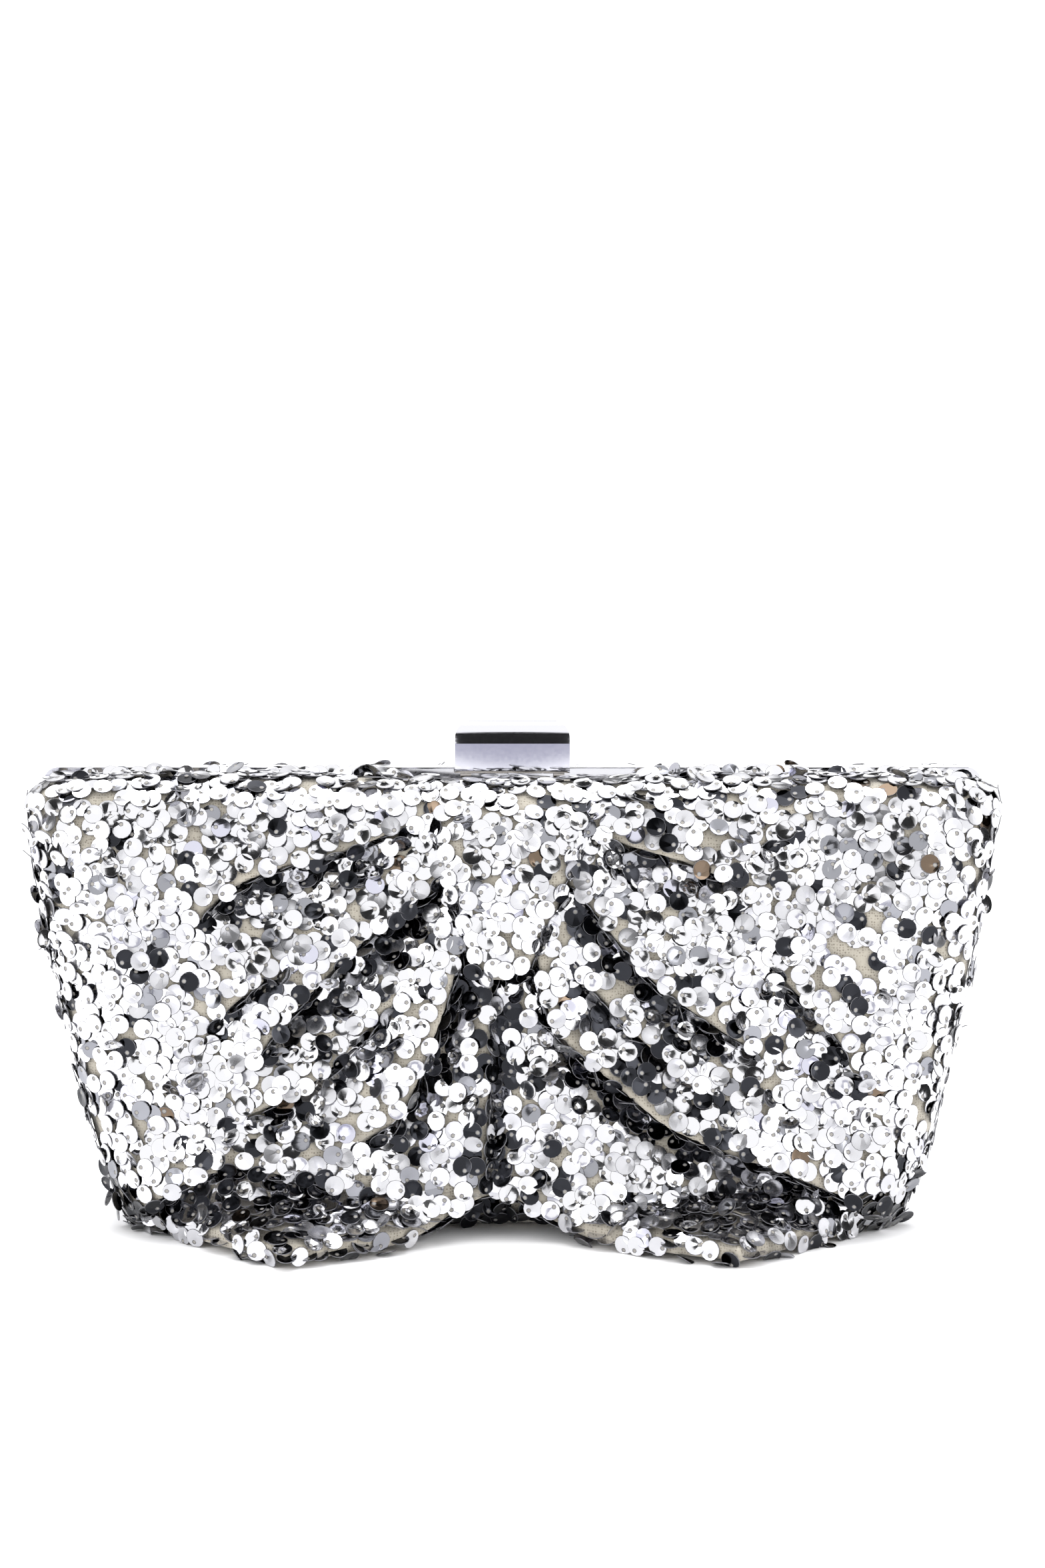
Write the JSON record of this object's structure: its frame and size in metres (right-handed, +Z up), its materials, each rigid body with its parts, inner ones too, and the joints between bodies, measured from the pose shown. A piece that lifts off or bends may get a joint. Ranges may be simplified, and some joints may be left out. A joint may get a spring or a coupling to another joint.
{
  "type": "evening bag",
  "caption": "Structured frame clutch, wider at the top, covered in sequinned net, with a pleated bow on the front and a flip-over clasp; it opens on a hinge along its base.",
  "frame": {"origin": "middle of the base, halfway between the back and the tips of the bow's loops, on the surface it stands on", "axes": "+Z up, +X to the right of a viewer who faces the front, +Y from the front with the bow to the back"},
  "size_m": [0.2516, 0.0924, 0.1333],
  "materials": {
    "sequins": "silver sequins sewn to a greige knitted net",
    "frame_chrome": "polished chrome plate",
    "clasp_chrome": "polished chrome plate",
    "steel": "plain nickel-plated steel",
    "shell_board": "moulded fibreboard",
    "wadding": "thin polyester wadding",
    "satin": "satin lining"
  },
  "bodies": {
    "front_half": {"front_frame": "frame_chrome", "front_shell": "shell_board", "front_padding": "wadding", "front_cover": "sequins", "front_lining": "satin", "hinge_pin_left": "steel", "gusset_left_front": "satin", "bow_wing_left": "sequins", "bow_under_left": "sequins", "clasp_rivet_left": "steel", "hinge_pin_right": "steel", "gusset_right_front": "satin", "bow_wing_right": "sequins", "bow_under_right": "sequins", "clasp_rivet_right": "steel", "bow_knot": "sequins", "clasp_base": "clasp_chrome", "clasp_pin": "steel", "clasp_spring": "steel"},
    "back_half": {"back_frame": "frame_chrome", "back_shell": "shell_board", "back_padding": "wadding", "back_cover": "sequins", "back_lining": "satin", "gusset_left_back": "satin", "gusset_right_back": "satin", "slip_pocket": "satin", "catch_plate": "clasp_chrome", "catch_rivet_left": "steel", "catch_rivet_right": "steel"},
    "clasp_flap": {"clasp_flap": "clasp_chrome"}
  },
  "joints": [
    {"name": "base_hinge", "type": "hinge", "parent": "front_half", "child": "back_half", "pos_m": [0, 0.01716, 0.002], "axis": [-1, 0, 0], "range_deg": [0, 55]},
    {"name": "clasp_hinge", "type": "hinge", "parent": "front_half", "child": "clasp_flap", "pos_m": [0, 0.01176, 0.1202], "axis": [1, 0, 0], "range_deg": [0, 75]}
  ]
}
